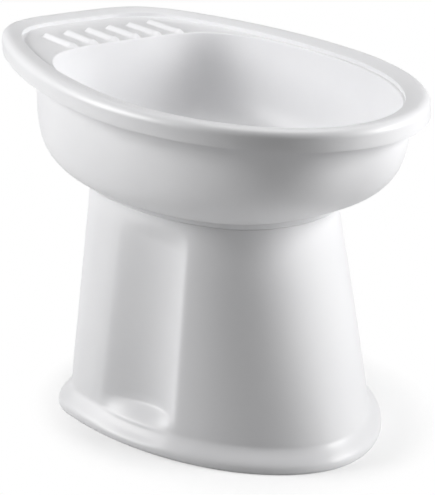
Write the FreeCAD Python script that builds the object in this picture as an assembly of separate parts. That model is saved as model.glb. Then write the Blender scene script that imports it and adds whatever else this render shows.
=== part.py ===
import FreeCAD, Part
import math
import os

# Free-standing bidet in two mouldings: a bowl that lifts off a hollow stand.
# Millimetres. X runs from the soap shelf at the rear to the rounded front, Y across, Z up from the floor.

# Rim of the bowl, seen from above, and its down-turned lip
rim_length = 610.0
rim_width = 352.0
rim_height = 375.0
rim_widest_x = 42.0
rim_front_power = 2.05
rim_rear_power = 2.25
rim_rear_corner = 1.4
rim_plate = 4.0
lip_depth = 20.5
lip_wall = 3.5
lip_channel = 9.0
lip_radius = 9.0

# Slope of the rim from its crown down to the edge round the shelf and the basin
slope_setback = 25.5
slope_rear_setback = 30.0
slope_rear_power = 2.45
slope_rear_corner = 1.6
slope_drop = 3.5
slope_power = 1.5
slope_ring_count = 4

# Inside of the bowl: soap shelf, basin and basin floor, with a narrow ledge between the slope and the basin
shelf_drop = 8.0
shelf_plate = 4.0
shelf_foot_radius = 0.8
shelf_edge_radius = 1.8
basin_ledge = 0.4
basin_setback = slope_setback + shelf_foot_radius + basin_ledge + shelf_edge_radius
basin_rear_setback = 141.0
basin_widest_x = 42.0
basin_front_power = 2.05
basin_rear_power = 4.4
basin_depth = 124.0
floor_length = 210.0
floor_width = 170.0
floor_centre_x = 35.0
floor_power = 2.2

# Outside of the bowl: its top stands one wall out from the basin
bowl_wall = 4.0
hull_setback = basin_setback - bowl_wall
hull_rear_setback = 87.0
hull_widest_x = 25.0
hull_front_power = 2.6
hull_rear_power = 3.5

# Profile of the bowl's walls: how late and how tightly they turn under
front_turn_power = 3.2
side_turn_power = 5.0
side_turn_root = 2.0
rear_turn_power = 6.0
rear_turn_root = 3.0

# Raised ribs on the soap shelf
rib_count = 6
rib_pitch = 27.5
rib_radius = 7.5
rib_height = 4.5
rib_rear_setback = 79.0
rib_nose_setback = 8.0

# Hollow under the soap shelf and its vent
vent_radius = 6.0
vent_setback = 24.0

# Seat between bowl and stand: the stand takes up the height that the basin leaves
floor_above_seat = 9.0
seat_height = rim_height - basin_depth - floor_above_seat
seat_front = 180.0
seat_rear = 105.0
seat_width = 238.0
seat_widest_x = -14.0
seat_front_power = 2.4
seat_rear_power = 3.2
seat_edge_radius = 1.5
collar_height = 6.0
spigot_depth = 10.0
spigot_wall = 4.0
spigot_clearance = 1.2

# Stand: tapered shell with a flared foot
stand_wall = 4.0
seat_ledge = 12.0
seat_ledge_thickness = 5.0
foot_front = 255.0
foot_rear = 125.0
foot_width = 335.0
foot_widest_x = -18.0
foot_front_power = 1.87
foot_rear_power = 1.8
skirt_width = 15.0
skirt_height = 26.0
foot_band = 5.0
sole_tuck = 1.0
sole_tuck_height = 2.0

# Flute down each side of the stand, from a soft start at the rear to a ridge, with a sloped floor
flute_rear_x = 22.0
flute_ridge_top_x = 118.0
flute_ridge_x = 133.0
flute_depth_top = 9.0
flute_depth_bottom = 19.0
flute_power = 1.4
flute_softness = 0.12
flute_top_gap = 3.0
flute_top_fade = 30.0
flute_floor_high = 38.0
flute_floor_low = 11.5

# Points round one outline, and stretches down one wall
bowl_point_count = 72
stand_point_count = 180
wall_ring_count = 14
column_ring_count = 6
foot_ring_count = 12

V = FreeCAD.Vector


def evenly(line, count):
    """Points that part a line of points into a number of stretches of one length."""
    travelled = [0.0]
    for a, b in zip(line, line[1:]):
        travelled.append(travelled[-1] + a.distanceToPoint(b))
    result = []
    k = 0
    for i in range(count):
        goal = travelled[-1] * i / count
        while travelled[k + 1] < goal:
            k += 1
        share = (goal - travelled[k]) / (travelled[k + 1] - travelled[k])
        result.append(line[k] + (line[k + 1] - line[k]) * share)
    return result + [line[-1]]


class Oval:
    """Plan outline: two half ovals that meet at the widest place, squarer by powers and rear corners."""

    def __init__(self, front, rear, half_width, widest_x, front_power, rear_power, rear_corner=0.0):
        self.front = front
        self.rear = rear
        self.half_width = half_width
        self.widest_x = widest_x
        self.front_power = front_power
        self.rear_power = rear_power
        self.rear_corner = rear_corner

    def values(self):
        return (self.front, self.rear, self.half_width, self.widest_x,
                self.front_power, self.rear_power, self.rear_corner)

    def inset(self, distance):
        reach = (self.front - distance, self.rear + distance, self.half_width - distance)
        return Oval(*reach, *self.values()[3:])

    def toward(self, other, share):
        return Oval(*[a + (b - a) * share for a, b in zip(self.values(), other.values())])

    def at(self, angle):
        along, across = math.cos(angle), math.sin(angle)
        reach = self.front - self.widest_x if along >= 0 else self.widest_x - self.rear
        bluntness = self.front_power if along >= 0 else self.rear_power + self.rear_corner * along ** 4
        y = self.half_width * math.copysign(abs(across) ** (2 / bluntness), across)
        return V(self.widest_x + reach * along, y, 0)

    def points(self, count):
        """Points at even distances round the outline, from the front."""
        fine = [self.at(2 * math.pi * i / (20 * count)) for i in range(20 * count + 1)]
        return evenly(fine, count)[:-1]

    def rear_x(self, y):
        """Rear x of the outline at a distance y from the middle plane."""
        low, high = math.pi / 2, math.pi
        while high - low > 1e-9:
            middle = (low + high) / 2
            if self.at(middle).y > abs(y):
                low = middle
            else:
                high = middle
        return self.at(low).x


def inset_points(points, distance):
    """Points moved inwards by a distance, square to the outline."""
    result = []
    for i, point in enumerate(points):
        along = points[(i + 1) % len(points)] - points[i - 1]
        inwards = V(-along.y, along.x, 0)
        inwards.normalize()
        result.append(point + inwards * distance)
    return result


def ring(points, z):
    """Closed smooth curve through points at one height."""
    places = [V(p.x, p.y, z) for p in points]
    even = [float(i) for i in range(len(places) + 1)]
    curve = Part.BSplineCurve()
    curve.interpolate(Points=places, PeriodicFlag=True, Parameters=even)
    return Part.Wire([curve.toShape()])


def quarter(steps=4):
    """Sine and cosine of even steps from 0 to 90 degrees."""
    angles = [math.pi / 2 * i / steps for i in range(steps + 1)]
    return [(math.sin(a), math.cos(a)) for a in angles]


def cap(edge):
    return Part.Face(edge)


def flat(outer, inner):
    return Part.makeFace([outer, inner], "Part::FaceMakerBullseye")


def wall(low, high):
    return Part.makeLoft([low, high], False, True)


def curved(rings):
    return Part.makeLoft(rings, False, False)


def closed_solid(faces):
    """Solid inside faces that meet edge to edge."""
    skin = Part.makeCompound(faces)
    skin.sewShape()
    solid = Part.makeSolid(skin.Shells[0])
    if solid.Volume < 0:
        solid.reverse()
    return solid


# Outlines that several faces share
rim_oval = Oval(rim_length / 2, -rim_length / 2, rim_width / 2, rim_widest_x,
                rim_front_power, rim_rear_power, rim_rear_corner)
crown_oval = rim_oval.inset(lip_radius)
slope_foot = Oval(rim_oval.front - slope_setback, rim_oval.rear + slope_rear_setback,
                  rim_oval.half_width - slope_setback, rim_widest_x,
                  rim_front_power, slope_rear_power, slope_rear_corner)
seat_oval = Oval(seat_front, -seat_rear, seat_width / 2, seat_widest_x, seat_front_power, seat_rear_power)
mouth_oval = seat_oval.inset(seat_ledge)
foot_oval = Oval(foot_front, -foot_rear, foot_width / 2, foot_widest_x, foot_front_power, foot_rear_power)
hull_top = Oval(rim_oval.front - hull_setback, rim_oval.rear + hull_rear_setback,
                rim_oval.half_width - hull_setback, hull_widest_x, hull_front_power, hull_rear_power)
basin_top = Oval(rim_oval.front - basin_setback, rim_oval.rear + basin_rear_setback,
                 rim_oval.half_width - basin_setback, basin_widest_x, basin_front_power, basin_rear_power)
basin_floor = Oval(floor_centre_x + floor_length / 2, floor_centre_x - floor_length / 2, floor_width / 2,
                   floor_centre_x, floor_power, floor_power)

# Heights that follow from the sizes above
rim_under_z = rim_height - rim_plate
shelf_z = rim_height - shelf_drop
shelf_under_z = shelf_z - shelf_plate
lip_z = rim_height - lip_depth
floor_z = rim_height - basin_depth
collar_z = seat_height + collar_height
ledge_under_z = seat_height - seat_ledge_thickness


def bowl_ring(oval, z):
    return ring(oval.points(bowl_point_count), z)


def stand_ring(oval, z, inset=0.0):
    return ring(inset_points(oval.points(stand_point_count), inset), z)


def drawn_in(top, bottom, depth):
    """Outline of a bowl wall at a share of its depth: raked at the front, upright at the rear."""
    oval = top.toward(bottom, depth)
    front_share = 1 - depth ** front_turn_power
    side_share = (1 - depth ** side_turn_power) ** (1 / side_turn_root)
    rear_share = (1 - depth ** rear_turn_power) ** (1 / rear_turn_root)
    oval.front = bottom.front + (top.front - bottom.front) * front_share
    oval.half_width = bottom.half_width + (top.half_width - bottom.half_width) * side_share
    oval.rear = bottom.rear + (top.rear - bottom.rear) * rear_share
    return oval


def wall_rings(top, bottom, z_top, z_bottom, inset=0.0):
    """Rings down a bowl wall, at even distances along its rear where it turns under most."""
    depths = [i / 400 for i in range(401)]
    rear = [V(drawn_in(top, bottom, d).rear, 0, z_top + (z_bottom - z_top) * d) for d in depths]
    rings = []
    for place in evenly(rear, wall_ring_count):
        depth = min((z_top - place.z) / (z_top - z_bottom), 1.0)
        rings.append(bowl_ring(drawn_in(top, bottom, depth).inset(inset), place.z))
    return rings


def underside_faces():
    """Recess, spigot and collar under the bowl, up to the foot of its outside wall."""
    spigot = seat_oval.inset(seat_ledge + spigot_clearance)
    recess = spigot.inset(spigot_wall)
    tip_z = seat_height - spigot_depth
    tip = bowl_ring(spigot, tip_z)
    root = bowl_ring(spigot, seat_height)
    recess_top = bowl_ring(recess, floor_z - bowl_wall)
    recess_tip = bowl_ring(recess, tip_z)
    r = seat_edge_radius
    edge = [bowl_ring(seat_oval.inset(r * (1 - s)), seat_height + r * (1 - c)) for s, c in quarter()]
    return [cap(recess_top), wall(recess_tip, recess_top), flat(tip, recess_tip), wall(tip, root),
            flat(edge[0], root), curved(edge), wall(edge[-1], bowl_ring(seat_oval, collar_z))]


def outside_faces():
    """Outside wall of the bowl, the underside of the shelf and the rim, and the lip."""
    hull = wall_rings(hull_top, seat_oval, shelf_under_z, collar_z)
    plate = rim_oval.inset(lip_wall + lip_channel)
    plate_low, plate_high = bowl_ring(plate, shelf_under_z), bowl_ring(plate, rim_under_z)
    lip_low, rim_low = bowl_ring(rim_oval.inset(lip_wall), lip_z), bowl_ring(rim_oval, lip_z)
    r = lip_radius
    edge = [bowl_ring(rim_oval.inset(r * (1 - c)), rim_height - r * (1 - s)) for s, c in quarter()]
    hollow = []
    for s, c in quarter():
        oval = rim_oval.inset(lip_wall + (r - lip_wall) * (1 - c))
        hollow.append(bowl_ring(oval, rim_under_z - (r - rim_plate) * (1 - s)))
    return [curved(hull), flat(plate_low, hull[0]), wall(plate_low, plate_high), flat(hollow[-1], plate_high),
            curved(hollow), wall(lip_low, hollow[0]), flat(rim_low, lip_low), wall(rim_low, edge[0]),
            curved(edge)]


def inside_faces():
    """Slope of the rim, the step at its foot, the shelf and the basin."""
    shares = [i / slope_ring_count for i in range(slope_ring_count + 1)]
    slope = [bowl_ring(crown_oval.toward(slope_foot, share), rim_height - slope_drop * share ** slope_power)
             for share in shares]
    r = shelf_foot_radius
    foot_edge = [bowl_ring(slope_foot.inset(r * (1 - c)), shelf_z + r * (1 - s)) for s, c in quarter()]
    r = shelf_edge_radius
    basin_edge = [bowl_ring(basin_top.inset(r * (s - 1)), shelf_z - r * (1 - c)) for s, c in quarter()]
    basin = wall_rings(basin_top, basin_floor, shelf_z - r, floor_z)
    return [curved(slope), wall(foot_edge[0], slope[-1]), curved(foot_edge),
            flat(foot_edge[-1], basin_edge[0]), curved(basin_edge), curved(basin), cap(basin[-1])]


def make_rib(y):
    """Rounded rib along the shelf that ends in a nose at the basin's rear edge."""
    x_rear = rim_oval.rear + rib_rear_setback
    x_nose = basin_top.rear_x(y) - rib_nose_setback
    z_axis = shelf_z + rib_height - rib_radius
    start, end = V(x_rear, y, z_axis), V(x_nose, y, z_axis)
    bar = Part.makeCylinder(rib_radius, x_nose - x_rear, start, V(1, 0, 0))
    bar = bar.fuse(Part.makeSphere(rib_radius, start))
    size = V(x_nose - x_rear + 4 * rib_radius, 4 * rib_radius, 2 * rib_radius)
    corner = start - V(2 * rib_radius, 2 * rib_radius, 0)
    corner.z = shelf_z - shelf_plate / 2
    return bar.common(Part.makeBox(size.x, size.y, size.z, corner)).fuse(Part.makeSphere(rib_radius, end))


def make_rear_hollow():
    """Space under the shelf between the basin and the outside wall, with a vent through the underside."""
    rings = wall_rings(hull_top, seat_oval, shelf_under_z, collar_z, bowl_wall)
    inside = closed_solid([curved(rings), cap(rings[0]), cap(rings[-1])])
    x_front = basin_top.rear - bowl_wall
    low = V(-rim_length, -rim_width, collar_z + bowl_wall)
    size = V(x_front, rim_width, shelf_under_z) - low
    hollow = inside.common(Part.makeBox(size.x, size.y, size.z, low))
    vent_foot = V(x_front - vent_setback, 0, collar_z - bowl_wall)
    return hollow.fuse(Part.makeCylinder(vent_radius, (shelf_under_z - collar_z) / 2, vent_foot))


def make_bowl():
    bowl = closed_solid(underside_faces() + outside_faces() + inside_faces())
    ribs = [make_rib((i - (rib_count - 1) / 2) * rib_pitch) for i in range(rib_count)]
    return bowl.fuse(ribs).cut(make_rear_hollow())


def eased(share):
    """Share from 0 to 1 that starts and ends softly."""
    share = min(max(share, 0.0), 1.0)
    return share ** 2 * (3 - 2 * share)


def ramp(share):
    """Share from 0 to 1 in a straight line, rounded at both ends."""
    if share > 0.5:
        return 1 - ramp(1 - share)
    if share > flute_softness:
        return share
    return max(share + flute_softness, 0.0) ** 2 / (4 * flute_softness)


def column_share(z):
    """Share of the way down the column, from under its top edge to the top of its skirt."""
    top = seat_height - seat_edge_radius
    return min((top - z) / (top - skirt_height), 1.0)


def skirt_inset(z):
    """How far the skirt stands in from the foot at one height."""
    return skirt_width * eased((z - foot_band) / (skirt_height - foot_band))


def stand_oval(z):
    """Outline of the stand at one height without its flutes: a taper, then a skirt swept out to a band."""
    if z >= skirt_height:
        return seat_oval.toward(foot_oval.inset(skirt_width), column_share(z))
    return foot_oval.inset(skirt_inset(z))


def flute_share(x, z):
    """Share of the flute's depth at a place across it, rounded where it starts and at its ridge."""
    ridge_x = flute_ridge_top_x + (flute_ridge_x - flute_ridge_top_x) * column_share(z)
    across = (x - flute_rear_x) / (ridge_x - flute_rear_x)
    deepest = flute_power / (flute_power + 1)
    rise = math.copysign((abs(across) / deepest) ** flute_power, across)
    share = rise * (1 - across) / (1 - deepest)
    return (share + math.hypot(share, flute_softness)) / 2


def flute_depth(z):
    """Depth of the flute at one height: it fades in below the seat, and its floor slopes out to the foot."""
    depth = flute_depth_top + (flute_depth_bottom - flute_depth_top) * column_share(z)
    below_top = (seat_height - flute_top_gap - z) / flute_top_fade
    above_floor = (z - flute_floor_low) / (flute_floor_high - flute_floor_low)
    return (skirt_width + depth * eased(below_top)) * ramp(above_floor) - skirt_inset(z)


def stand_points(z, inset):
    """Outline of the stand at one height, with its flutes pressed in on both sides."""
    depth = flute_depth(z)
    points = stand_oval(z).points(stand_point_count)
    points = [p - V(0, math.copysign(depth * flute_share(p.x, z), p.y), 0) for p in points]
    return inset_points(points, inset)


def stand_stretch(z_top, z_bottom, count, inset):
    """Rings down a stretch of the stand's outside, or of its inside one wall in and one wall lower."""
    step = (z_bottom - z_top) / count
    heights = [z_top + step * i for i in range(count + 1)]
    return [ring(stand_points(z, inset), z - inset) for z in heights]


def stand_skin(z_top, z_bottom, inset):
    """Faces of the stand's outside or inside, with the edges they end in at the top and at the bottom."""
    z_fade = seat_height - flute_top_gap - flute_top_fade
    upper = stand_stretch(z_top, z_fade, column_ring_count, inset)
    middle = stand_stretch(z_fade, flute_floor_high, column_ring_count, inset)
    foot = stand_stretch(flute_floor_high, z_bottom, foot_ring_count, inset)
    return [curved(upper), curved(middle), curved(foot)], upper[0], foot[-1]


def make_stand():
    r = seat_edge_radius
    edge = [stand_ring(seat_oval.inset(r * (1 - s)), seat_height - r * (1 - c)) for s, c in quarter()]
    outside, _, band = stand_skin(seat_height - r, sole_tuck_height, 0)
    sole = stand_ring(foot_oval, 0, sole_tuck)
    inside, inside_top, sole_in = stand_skin(ledge_under_z + stand_wall, stand_wall, stand_wall)
    mouth_low, mouth_high = stand_ring(mouth_oval, ledge_under_z), stand_ring(mouth_oval, seat_height)
    seat = [curved(edge), flat(edge[0], mouth_high), wall(mouth_low, mouth_high), flat(inside_top, mouth_low)]
    return closed_solid(outside + inside + seat + [wall(sole, band), flat(sole, sole_in)])


os.makedirs("parts", exist_ok=True)
nodes = {"stand": make_stand(), "bowl": make_bowl()}
for name, shape in nodes.items():
    shape.exportStep("parts/" + name + ".step")
    print(name, len(shape.Solids), shape.isValid(), round(shape.Volume / 1000), "cm3")
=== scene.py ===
import bmesh
import bpy
import math
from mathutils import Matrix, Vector


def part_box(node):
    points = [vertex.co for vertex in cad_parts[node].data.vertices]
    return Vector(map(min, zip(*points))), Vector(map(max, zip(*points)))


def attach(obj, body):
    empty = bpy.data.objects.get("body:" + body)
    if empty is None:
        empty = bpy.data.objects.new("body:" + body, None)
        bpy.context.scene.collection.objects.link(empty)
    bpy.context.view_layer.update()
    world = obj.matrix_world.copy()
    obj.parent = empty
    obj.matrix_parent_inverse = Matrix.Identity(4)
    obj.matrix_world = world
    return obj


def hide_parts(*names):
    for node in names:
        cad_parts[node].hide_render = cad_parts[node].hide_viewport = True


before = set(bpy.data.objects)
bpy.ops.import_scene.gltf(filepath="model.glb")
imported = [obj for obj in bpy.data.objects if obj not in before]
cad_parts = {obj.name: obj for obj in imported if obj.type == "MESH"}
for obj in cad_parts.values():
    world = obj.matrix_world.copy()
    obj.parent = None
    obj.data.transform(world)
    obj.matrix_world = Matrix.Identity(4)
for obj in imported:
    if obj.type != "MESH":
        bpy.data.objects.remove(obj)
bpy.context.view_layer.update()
print("frame loaded:", ", ".join(sorted(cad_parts)))

mm = 0.001
mergeGap = 0.01 * mm
finePerPoint = 12  # steps along an outline for each point that is kept
bowlLow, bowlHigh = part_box("bowl")
standLow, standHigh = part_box("stand")
rimTop = bowlHigh.z
seatTop = standHigh.z


# Outlines: two half ovals that meet at the widest place, seen from above
def oval(front, rear, half, widestX, frontPower, rearPower, rearCorner=0.0):
    return dict(front=front, rear=rear, half=half, widestX=widestX,
                frontPower=frontPower, rearPower=rearPower, rearCorner=rearCorner)


def insetOval(shape, distance):
    moved = {"front": shape["front"] - distance, "rear": shape["rear"] + distance,
             "half": shape["half"] - distance}
    return {**shape, **moved}


def blendOvals(first, second, share):
    return {key: first[key] + (second[key] - first[key]) * share for key in first}


def ovalPoint(shape, angle):
    along, across = math.cos(angle), math.sin(angle)
    ahead = along >= 0
    reach = shape["front"] - shape["widestX"] if ahead else shape["widestX"] - shape["rear"]
    power = shape["frontPower"] if ahead else shape["rearPower"] + shape["rearCorner"] * along ** 4
    y = shape["half"] * math.copysign(abs(across) ** (2 / power), across)
    return Vector((shape["widestX"] + reach * along, y, 0))


def evenPoints(line, count):  # count stretches of one length along a line of points
    travelled = [0.0]
    for a, b in zip(line, line[1:]):
        travelled.append(travelled[-1] + (b - a).length)
    points, k = [], 0
    for i in range(count):
        goal = travelled[-1] * i / count
        while travelled[k + 1] < goal:
            k += 1
        points.append(line[k].lerp(line[k + 1], (goal - travelled[k]) / (travelled[k + 1] - travelled[k])))
    return points


def ovalRing(shape, count, z):
    steps = finePerPoint * count
    fine = [ovalPoint(shape, 2 * math.pi * i / steps) for i in range(steps + 1)]
    return [Vector((p.x, p.y, z)) for p in evenPoints(fine, count)]


def insetRing(points, distance):  # moved inwards, square to the outline
    moved = []
    for i, point in enumerate(points):
        along = points[(i + 1) % len(points)] - points[i - 1]
        moved.append(point + Vector((-along.y, along.x, 0)).normalized() * distance)
    return moved


def rearX(shape, y):
    across = (abs(y) / shape["half"]) ** (shape["rearPower"] / 2)
    return shape["widestX"] - (shape["widestX"] - shape["rear"]) * math.sqrt(1 - across ** 2)


def eased(share):
    share = min(max(share, 0.0), 1.0)
    return share ** 2 * (3 - 2 * share)


def ramp(share, softness):  # a straight line from 0 to 1, rounded at both ends
    if share > 0.5:
        return 1 - ramp(1 - share, softness)
    return share if share > softness else max(share + softness, 0) ** 2 / (4 * softness)


def quarterTurn(steps):  # sines and cosines from 0 to 90 degrees
    angles = [math.pi / 2 * i / steps for i in range(steps + 1)]
    return [(math.sin(a), math.cos(a)) for a in angles]


# Skins are drawn ring by ring: a circle is laid on the first outline, then extruded to each next one
ringStart = math.radians(0.1)  # turn of the first point, so that rounding can't send it to the end


def turnOf(point, middleX=20 * mm):
    return (math.atan2(point.y, point.x - middleX) + ringStart) % (2 * math.pi)


def layRing(piece, points):
    mesh = bmesh.from_edit_mesh(piece.data)
    ring = sorted((v for v in mesh.verts if v.select), key=lambda v: turnOf(v.co))
    for vert, point in zip(ring, sorted(points, key=turnOf)):
        vert.co = point
    bmesh.update_edit_mesh(piece.data)


def drawSkin(name, rings):
    bpy.ops.object.select_all(action="DESELECT")
    bpy.ops.mesh.primitive_circle_add(vertices=len(rings[0]), radius=1)
    piece = bpy.context.active_object
    piece.name = piece.data.name = name
    bpy.ops.object.mode_set(mode="EDIT")
    bpy.ops.mesh.select_all(action="SELECT")
    layRing(piece, rings[0])
    for points in rings[1:]:
        bpy.ops.mesh.extrude_edges_indiv()
        layRing(piece, points)
    return piece


def mergeDoubles():
    bpy.ops.mesh.select_all(action="SELECT")
    bpy.ops.mesh.remove_doubles(threshold=mergeGap)


def finishSkin(piece, s):
    bpy.ops.mesh.select_all(action="SELECT")
    bpy.ops.mesh.normals_make_consistent(inside=False)
    bpy.ops.object.mode_set(mode="OBJECT")
    edge = piece.modifiers.new("edge", "BEVEL")
    edge.width, edge.segments = s["edgeWidth"], s["edgeSegments"]
    edge.limit_method, edge.angle_limit = "ANGLE", math.radians(s["edgeAngle"])
    bpy.ops.object.modifier_apply(modifier=edge.name)
    bpy.ops.object.shade_smooth_by_angle(angle=math.radians(s["smoothAngle"]))


# Bowl: rim with a down-turned lip, soap shelf, basin, a collar on the stand and a spigot in its mouth
bowlSet = dict(
    points=240, arcSteps=6, wallSteps=44, wallFineSteps=600, shelfSteps=9,
    rimWidestX=42 * mm, rimFrontPower=2.05, rimRearPower=2.25, rimRearCorner=1.4, rimPlate=4 * mm,
    lipDepth=20.5 * mm, lipWall=3.5 * mm, lipChannel=9 * mm, lipRadius=9 * mm,
    slopeSide=25.5 * mm, slopeRear=30 * mm, slopeRearPower=2.45, slopeRearCorner=1.6,
    slopeDrop=3.5 * mm, slopePower=1.5, slopeSteps=8,
    hullSide=24.5 * mm, hullRear=87 * mm, hullWidestX=25 * mm,
    hullFrontPower=2.6, hullRearPower=3.5, wall=4 * mm,
    shelfDrop=8 * mm, shelfPlate=4 * mm, shelfFootRadius=0.8 * mm, shelfEdgeRadius=1.8 * mm,
    basinSide=28.5 * mm, basinRear=141 * mm, basinWidestX=42 * mm, basinFrontPower=2.05, basinRearPower=4.4,
    basinDepth=124 * mm, floorLength=210 * mm, floorWidth=170 * mm, floorX=35 * mm, floorPower=2.2,
    frontTurn=3.2, sideTurn=5.0, sideRoot=2.0, rearTurn=6.0, rearRoot=3.0,
    collarHeight=6 * mm, spigotDepth=10 * mm, spigotWall=4 * mm, spigotClearance=1.2 * mm,
    recessMiddle=0.98, recessShares=(0.02, 0.4, 0.7, 1), floorShares=(0.75, 0.5, 0.25, 0.02),
    edgeWidth=0.9 * mm, edgeSegments=3, edgeAngle=40, smoothAngle=40,
)
seatOval = oval(front=180 * mm, rear=-105 * mm, half=119 * mm,
                widestX=-14 * mm, frontPower=2.4, rearPower=3.2)
seatSet = dict(edgeRadius=1.5 * mm, ledge=12 * mm, ledgeThickness=5 * mm)


def bowlOvals(s):
    rim = oval(bowlHigh.x, bowlLow.x, bowlHigh.y, s["rimWidestX"],
               s["rimFrontPower"], s["rimRearPower"], s["rimRearCorner"])
    slope = oval(rim["front"] - s["slopeSide"], rim["rear"] + s["slopeRear"], rim["half"] - s["slopeSide"],
                 s["rimWidestX"], s["rimFrontPower"], s["slopeRearPower"], s["slopeRearCorner"])
    hull = oval(rim["front"] - s["hullSide"], rim["rear"] + s["hullRear"], rim["half"] - s["hullSide"],
                s["hullWidestX"], s["hullFrontPower"], s["hullRearPower"])
    basin = oval(rim["front"] - s["basinSide"], rim["rear"] + s["basinRear"], rim["half"] - s["basinSide"],
                 s["basinWidestX"], s["basinFrontPower"], s["basinRearPower"])
    floor = oval(s["floorX"] + s["floorLength"] / 2, s["floorX"] - s["floorLength"] / 2, s["floorWidth"] / 2,
                 s["floorX"], s["floorPower"], s["floorPower"])
    return rim, slope, hull, basin, floor


def drawnIn(s, top, bottom, depth):  # outline of a bowl wall at a share of its depth
    shares = {"front": 1 - depth ** s["frontTurn"],
              "half": (1 - depth ** s["sideTurn"]) ** (1 / s["sideRoot"]),
              "rear": (1 - depth ** s["rearTurn"]) ** (1 / s["rearRoot"])}
    turned = {key: bottom[key] + (top[key] - bottom[key]) * share for key, share in shares.items()}
    return {**blendOvals(top, bottom, depth), **turned}


def wallRings(s, top, bottom, zTop, zBottom):  # evenly spaced along the rear, where the wall turns most
    depths = [i / s["wallFineSteps"] for i in range(s["wallFineSteps"] + 1)]
    line = [Vector((drawnIn(s, top, bottom, d)["rear"], 0, zTop + (zBottom - zTop) * d)) for d in depths]
    rings = []
    for place in evenPoints(line, s["wallSteps"]) + [line[-1]]:
        depth = min(max((zTop - place.z) / (zTop - zBottom), 0.0), 1.0)
        rings.append(ovalRing(drawnIn(s, top, bottom, depth), s["points"], place.z))
    return rings


def undersideRings(s, hull):  # from the middle of the recess out to the top of the outside wall
    spigot = insetOval(seatOval, seatSet["ledge"] + s["spigotClearance"])
    recess = insetOval(spigot, s["spigotWall"])
    recessTop = rimTop - s["basinDepth"] - s["wall"]
    tip, collarTop, r = seatTop - s["spigotDepth"], seatTop + s["collarHeight"], seatSet["edgeRadius"]
    middle = insetOval(recess, recess["half"] * s["recessMiddle"])
    plan = [(blendOvals(recess, middle, 1 - share), recessTop) for share in s["recessShares"]]
    plan += [(recess, tip), (spigot, tip), (spigot, seatTop)]
    plan += [(insetOval(seatOval, r * (1 - a)), seatTop + r * (1 - b)) for a, b in quarterTurn(s["arcSteps"])]
    rings = [ovalRing(shape, s["points"], z) for shape, z in plan]
    return rings + wallRings(s, hull, seatOval, rimTop - s["shelfDrop"] - s["shelfPlate"], collarTop)[::-1]


def rimRings(s, rim, slope):  # under the rim, down inside the lip, over its crown and down the slope
    underRim, lipLow, r = rimTop - s["rimPlate"], rimTop - s["lipDepth"], s["lipRadius"]
    plate = insetOval(rim, s["lipWall"] + s["lipChannel"])
    plan = [(plate, rimTop - s["shelfDrop"] - s["shelfPlate"]), (plate, underRim)]
    plan += [(insetOval(rim, s["lipWall"] + (r - s["lipWall"]) * (1 - b)),
              underRim - (r - s["rimPlate"]) * (1 - a)) for a, b in quarterTurn(s["arcSteps"])[::-1]]
    plan += [(insetOval(rim, s["lipWall"]), lipLow), (rim, lipLow), (rim, lipLow + (rimTop - r - lipLow) / 2)]
    plan += [(insetOval(rim, r * (1 - b)), rimTop - r * (1 - a)) for a, b in quarterTurn(2 * s["arcSteps"])]
    shares = [i / s["slopeSteps"] for i in range(1, s["slopeSteps"] + 1)]
    plan += [(blendOvals(insetOval(rim, r), slope, share), rimTop - s["slopeDrop"] * share ** s["slopePower"])
             for share in shares]
    r, shelf = s["shelfFootRadius"], rimTop - s["shelfDrop"]
    plan += [(insetOval(slope, r * (1 - b)), shelf + r * (1 - a)) for a, b in quarterTurn(s["arcSteps"])]
    return [ovalRing(shape, s["points"], z) for shape, z in plan]


def basinRings(s, slope, basin, floor):  # across the shelf, over its edge and down to the middle of the floor
    shelf, r = rimTop - s["shelfDrop"], s["shelfEdgeRadius"]
    foot = ovalRing(insetOval(slope, s["shelfFootRadius"]), s["points"], shelf)
    edge = ovalRing(insetOval(basin, -r), s["points"], shelf)
    steps = s["shelfSteps"]
    rings = [[a.lerp(b, i / steps) for a, b in zip(foot, edge)] for i in range(1, steps)]
    rings += [ovalRing(insetOval(basin, r * (a - 1)), s["points"], shelf - r * (1 - b))
              for a, b in quarterTurn(s["arcSteps"])]
    rings += wallRings(s, basin, floor, shelf - r, rimTop - s["basinDepth"])[1:]
    middle = Vector((s["floorX"], 0, rimTop - s["basinDepth"]))
    return rings + [[middle.lerp(p, share) for p in rings[-1]] for share in s["floorShares"]]


# Six raised ribs across the soap shelf, each with a rounded nose over the edge of the basin
ribSet = dict(
    count=6, pitch=27.5 * mm, radius=7.5 * mm, height=4.5 * mm, rearSetback=79 * mm, noseSetback=8 * mm,
    fade=8.6 * mm, cuts=5, reach=14 * mm, steepest=-0.5, slack=0.1 * mm,
)


def ribLines(s, rim, basin):
    lines = []
    z = rimTop - bowlSet["shelfDrop"] + s["height"] - s["radius"]
    for i in range(s["count"]):
        y = (i - (s["count"] - 1) / 2) * s["pitch"]
        rear = rim["rear"] + s["rearSetback"]
        lines.append((Vector((rear, y, z)), Vector((rearX(basin, y) - s["noseSetback"], y, z))))
    return lines


def distanceTo(line, point):
    start, end = line
    share = (point - start).dot(end - start) / (end - start).length_squared
    return (point - start.lerp(end, min(max(share, 0), 1))).length


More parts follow.
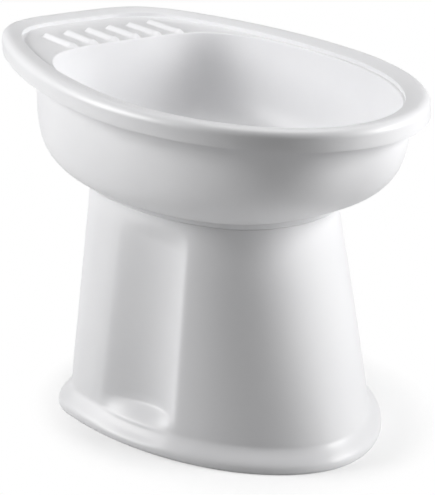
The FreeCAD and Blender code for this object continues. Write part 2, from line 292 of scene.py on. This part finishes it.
def raiseRibs(piece, s, rim, basin):
    lines = ribLines(s, rim, basin)
    mesh = bmesh.from_edit_mesh(piece.data)
    highest = rimTop - bowlSet["shelfDrop"] + s["slack"]
    bpy.ops.mesh.select_all(action="DESELECT")
    for face in mesh.faces:
        middle = face.calc_center_median()
        near = min(distanceTo(line, middle) for line in lines) < s["reach"]
        face.select_set(near and middle.z <= highest and face.normal.z > s["steepest"])
    bmesh.update_edit_mesh(piece.data)
    bpy.ops.mesh.subdivide(number_cuts=s["cuts"])
    mesh = bmesh.from_edit_mesh(piece.data)
    mesh.normal_update()
    inner = s["radius"] - s["height"]
    moves = []
    for vert in mesh.verts:
        if vert.select:
            near = min(distanceTo(line, vert.co) for line in lines)
            height = s["height"] * eased((s["fade"] - near) / (s["fade"] - inner))
            moves.append((vert, vert.normal * height))
    for vert, move in moves:
        vert.co += move
    bmesh.update_edit_mesh(piece.data)


def makeBowl(s):
    rim, slope, hull, basin, floor = bowlOvals(s)
    rings = undersideRings(s, hull) + rimRings(s, rim, slope) + basinRings(s, slope, basin, floor)
    piece = drawSkin("bowlMoulding", rings)
    bpy.ops.mesh.merge(type="CENTER")  # the last ring, in the middle of the basin's floor
    mergeDoubles()
    bpy.ops.mesh.select_all(action="DESELECT")
    bpy.ops.mesh.select_non_manifold()  # the first ring, in the middle of the recess
    bpy.ops.mesh.edge_face_add()
    bpy.ops.mesh.select_all(action="SELECT")
    bpy.ops.mesh.normals_make_consistent(inside=False)
    raiseRibs(piece, ribSet, rim, basin)
    finishSkin(piece, s)
    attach(piece, "bowl")
    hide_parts("bowl")
    print("bowl:", len(piece.data.polygons), "faces")
    return piece


# Stand: tapered hollow column on a skirt, with a flute pressed into each side
standSet = dict(
    points=360, arcSteps=5, topSteps=10, columnSteps=20, footSteps=24, wall=4 * mm,
    footWidestX=-18 * mm, footFrontPower=1.87, footRearPower=1.8, skirtWidth=15 * mm, skirtHeight=26 * mm,
    footBand=5 * mm, soleTuck=1 * mm, soleTuckHeight=2 * mm,
    fluteRearX=22 * mm, ridgeTopX=118 * mm, ridgeX=133 * mm, fluteDepthTop=9 * mm, fluteDepth=19 * mm,
    flutePower=1.4, fluteSoftness=0.12, fluteTopGap=3 * mm, fluteTopFade=30 * mm,
    fluteFloorHigh=38 * mm, fluteFloorLow=11.5 * mm,
    edgeWidth=0.6 * mm, edgeSegments=3, edgeAngle=40, smoothAngle=40,
)


def footOval(s):
    return oval(standHigh.x, standLow.x, standHigh.y,
                s["footWidestX"], s["footFrontPower"], s["footRearPower"])


def columnShare(s, z):
    top = seatTop - seatSet["edgeRadius"]
    return min((top - z) / (top - s["skirtHeight"]), 1.0)


def skirtInset(s, z):
    return s["skirtWidth"] * eased((z - s["footBand"]) / (s["skirtHeight"] - s["footBand"]))


def standOval(s, z):
    foot = footOval(s)
    if z >= s["skirtHeight"]:
        return blendOvals(seatOval, insetOval(foot, s["skirtWidth"]), columnShare(s, z))
    return insetOval(foot, skirtInset(s, z))


def fluteShare(s, x, z):  # share of the flute's depth across it, rounded where it starts and at its ridge
    ridge = s["ridgeTopX"] + (s["ridgeX"] - s["ridgeTopX"]) * columnShare(s, z)
    across = (x - s["fluteRearX"]) / (ridge - s["fluteRearX"])
    deepest = s["flutePower"] / (s["flutePower"] + 1)
    rise = math.copysign((abs(across) / deepest) ** s["flutePower"], across)
    share = rise * (1 - across) / (1 - deepest)
    return (share + math.hypot(share, s["fluteSoftness"])) / 2


def fluteDepth(s, z):
    depth = s["fluteDepthTop"] + (s["fluteDepth"] - s["fluteDepthTop"]) * columnShare(s, z)
    belowTop = (seatTop - s["fluteTopGap"] - z) / s["fluteTopFade"]
    aboveFloor = (z - s["fluteFloorLow"]) / (s["fluteFloorHigh"] - s["fluteFloorLow"])
    pressed = s["skirtWidth"] + depth * eased(belowTop)
    return pressed * ramp(aboveFloor, s["fluteSoftness"]) - skirtInset(s, z)


def standRing(s, z, inset):  # the inside is the outside one wall in and one wall lower
    depth = fluteDepth(s, z)
    points = ovalRing(standOval(s, z), s["points"], z - inset)
    pressed = [p - Vector((0, math.copysign(depth * fluteShare(s, p.x, z), p.y), 0)) for p in points]
    return insetRing(pressed, inset)


def stretch(top, bottom, steps):
    return [top + (bottom - top) * i / steps for i in range(steps + 1)]


def makeStand(s):
    r, count = seatSet["edgeRadius"], s["points"]
    fade = seatTop - s["fluteTopGap"] - s["fluteTopFade"]
    mouth = insetOval(seatOval, seatSet["ledge"])
    rings = [ovalRing(mouth, count, seatTop)]
    rings += [ovalRing(insetOval(seatOval, r * (1 - a)), count, seatTop - r * (1 - b))
              for a, b in quarterTurn(s["arcSteps"])]
    heights = stretch(seatTop - r, fade, s["topSteps"])[1:]
    heights += stretch(fade, s["fluteFloorHigh"], s["columnSteps"])[1:]
    heights += stretch(s["fluteFloorHigh"], s["soleTuckHeight"], s["footSteps"])[1:]
    rings += [standRing(s, z, 0) for z in heights]
    rings.append(insetRing(ovalRing(footOval(s), count, 0), s["soleTuck"]))
    inner = [z for z in heights[::-1][::2] if z > s["wall"]]
    ledge = seatTop - seatSet["ledgeThickness"]
    rings += [standRing(s, z, s["wall"]) for z in [s["wall"]] + inner[:-1] + [ledge + s["wall"]]]
    rings += [ovalRing(mouth, count, ledge), rings[0]]
    piece = drawSkin("standMoulding", rings)
    mergeDoubles()
    finishSkin(piece, s)
    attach(piece, "stand")
    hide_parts("stand")
    print("stand:", len(piece.data.polygons), "faces")
    return piece


# Colours are written as sRGB hex values
def linear(hexColour):
    parts = [int(hexColour[i:i + 2], 16) / 255 for i in (0, 2, 4)]
    return [p / 12.92 if p <= 0.04045 else ((p + 0.055) / 1.055) ** 2.4 for p in parts] + [1.0]


def addNode(tree, kind, settings=None, values=None, links=None):
    node = tree.nodes.new(kind)
    for key, value in (settings or {}).items():
        setattr(node, key, value)
    for key, value in (values or {}).items():
        node.inputs[key].default_value = value
    for key, source in (links or {}).items():
        tree.links.new(source, node.inputs[key])
    return node


def emptyTree(owner):
    owner.use_nodes = True
    owner.node_tree.nodes.clear()
    return owner.node_tree


# White polypropylene, injection moulded: a soft even shine, faintly clouded, with a slight flow ripple
plasticSet = dict(white="F0F0F1", shade="E9E9EB", cloud=90 * mm, cloudDetail=3.0,
                  ripple=7 * mm, rippleDetail=2.0, rippleHeight=0.012 * mm, gloss=(0.35, 0.42), ior=1.49)


def mouldedPolypropylene(s):
    material = bpy.data.materials.new("mouldedPolypropylene")
    tree = emptyTree(material)
    place = addNode(tree, "ShaderNodeTexCoord").outputs["Object"]
    cloud = addNode(tree, "ShaderNodeTexNoise", None,
                    {"Scale": 1 / s["cloud"], "Detail": s["cloudDetail"]}, {"Vector": place})
    ripple = addNode(tree, "ShaderNodeTexNoise", None,
                     {"Scale": 1 / s["ripple"], "Detail": s["rippleDetail"]}, {"Vector": place})
    tint = addNode(tree, "ShaderNodeMix", {"data_type": "RGBA"},
                   {6: linear(s["white"]), 7: linear(s["shade"])}, {0: cloud.outputs["Fac"]})
    gloss = addNode(tree, "ShaderNodeMapRange", None, {"To Min": s["gloss"][0], "To Max": s["gloss"][1]},
                    {"Value": cloud.outputs["Fac"]})
    bump = addNode(tree, "ShaderNodeBump", None, {"Strength": 1.0, "Distance": s["rippleHeight"]},
                   {"Height": ripple.outputs["Fac"]})
    shader = addNode(tree, "ShaderNodeBsdfPrincipled", None, {"IOR": s["ior"]},
                     {"Base Color": tint.outputs[2], "Roughness": gloss.outputs["Result"],
                      "Normal": bump.outputs["Normal"]})
    addNode(tree, "ShaderNodeOutputMaterial", None, None, {"Surface": shader.outputs["BSDF"]})
    return material


# Studio: pale floor, two broad side lamps, a soft lamp overhead and a camera at the photograph's angle
cameraSet = dict(azimuth=57.77, elevation=19.0, distance=2.1193, target=(0.01425, 0.00785, 0.1684),
                 focalPixels=1934.67, imageHeight=495)
floorSet = dict(size=8.0, colour="D0D0D0", lift=0.37,
                centre=(65 * mm, 0, 0), reach=(190 * mm, 168 * mm, 1), clearFrom=1.0, clearTo=1.32)
lampSet = dict(
    left=dict(turn=-93, rise=26, distance=1.7, width=0.9, height=0.8, power=23),
    right=dict(turn=78, rise=25, distance=1.7, width=0.9, height=0.8, power=25.5),
    above=dict(turn=180, rise=86, distance=1.7, width=1.1, height=1.1, power=10.5),
)
worldSet = dict(colour="FFFFFF", ambient=0.02)


def directionAt(azimuth, elevation):
    a, e = math.radians(azimuth), math.radians(elevation)
    return Vector((math.sin(a) * math.cos(e), -math.cos(a) * math.cos(e), math.sin(e)))


def makeCamera(s):
    bpy.ops.object.camera_add()
    camera = bpy.context.active_object
    camera.name = "photoCamera"
    back = directionAt(s["azimuth"], s["elevation"])
    camera.location = Vector(s["target"]) + back * s["distance"]
    camera.rotation_euler = back.to_track_quat("Z", "Y").to_euler()
    camera.data.lens = camera.data.sensor_width * s["focalPixels"] / s["imageHeight"]
    bpy.context.scene.camera = camera


def makeLamps(lamps):
    for name, s in lamps.items():
        bpy.ops.object.light_add(type="AREA")
        lamp = bpy.context.active_object
        lamp.name = name + "Lamp"
        away = directionAt(cameraSet["azimuth"] + s["turn"], s["rise"])
        lamp.location = Vector(cameraSet["target"]) + away * s["distance"]
        lamp.rotation_euler = away.to_track_quat("Z", "Y").to_euler()
        lamp.data.shape = "RECTANGLE"
        lamp.data.size, lamp.data.size_y = s["width"], s["height"]
        lamp.data.energy = s["power"]
        lamp.visible_camera = False


def makeFloor(s):  # matt paper that keeps the shadow round the foot and is seen as plain white farther out
    bpy.ops.object.select_all(action="DESELECT")
    bpy.ops.mesh.primitive_plane_add(size=s["size"])
    floor = bpy.context.active_object
    floor.name = "studioFloor"
    material = bpy.data.materials.new("paleSweep")
    tree = emptyTree(material)
    place = addNode(tree, "ShaderNodeTexCoord").outputs["Object"]
    offset = addNode(tree, "ShaderNodeVectorMath", {"operation": "SUBTRACT"}, {1: s["centre"]}, {0: place})
    scaled = addNode(tree, "ShaderNodeVectorMath", {"operation": "DIVIDE"}, {1: s["reach"]},
                     {0: offset.outputs[0]})
    away = addNode(tree, "ShaderNodeVectorMath", {"operation": "LENGTH"}, None, {0: scaled.outputs[0]})
    clear = addNode(tree, "ShaderNodeMapRange", {"interpolation_type": "SMOOTHSTEP"},
                    {"From Min": s["clearFrom"], "From Max": s["clearTo"]}, {"Value": away.outputs["Value"]})
    seen = addNode(tree, "ShaderNodeLightPath").outputs["Is Camera Ray"]
    paper = addNode(tree, "ShaderNodeBsdfDiffuse", None, {"Color": linear(s["colour"])})
    strength = addNode(tree, "ShaderNodeMath", {"operation": "MULTIPLY"}, {1: s["lift"]}, {0: seen})
    lift = addNode(tree, "ShaderNodeEmission", None, None, {"Strength": strength.outputs[0]})
    lifted = addNode(tree, "ShaderNodeAddShader", None, None, {0: paper.outputs[0], 1: lift.outputs[0]})
    white = addNode(tree, "ShaderNodeEmission", None, {"Strength": 1.0})
    share = addNode(tree, "ShaderNodeMath", {"operation": "MULTIPLY"}, None, {0: clear.outputs[0], 1: seen})
    mixed = addNode(tree, "ShaderNodeMixShader", None, None,
                    {0: share.outputs[0], 1: lifted.outputs[0], 2: white.outputs[0]})
    addNode(tree, "ShaderNodeOutputMaterial", None, None, {"Surface": mixed.outputs[0]})
    floor.data.materials.append(material)


def makeWorld(s):
    world = bpy.data.worlds.new("studio")
    bpy.context.scene.world = world
    tree = emptyTree(world)
    seen = addNode(tree, "ShaderNodeLightPath").outputs["Is Camera Ray"]
    strength = addNode(tree, "ShaderNodeMapRange", None, {"To Min": s["ambient"], "To Max": 1.0},
                       {"Value": seen})
    glow = addNode(tree, "ShaderNodeBackground", None, {"Color": linear(s["colour"])},
                   {"Strength": strength.outputs[0]})
    addNode(tree, "ShaderNodeOutputWorld", None, None, {"Surface": glow.outputs[0]})


makeCamera(cameraSet)
makeLamps(lampSet)
makeFloor(floorSet)
makeWorld(worldSet)
bpy.context.scene.view_settings.view_transform = "Standard"
print("studio ready")

plastic = mouldedPolypropylene(plasticSet)
for piece in (makeBowl(bowlSet), makeStand(standSet)):
    piece.data.materials.clear()
    piece.data.materials.append(plastic)
print("mouldings finished")
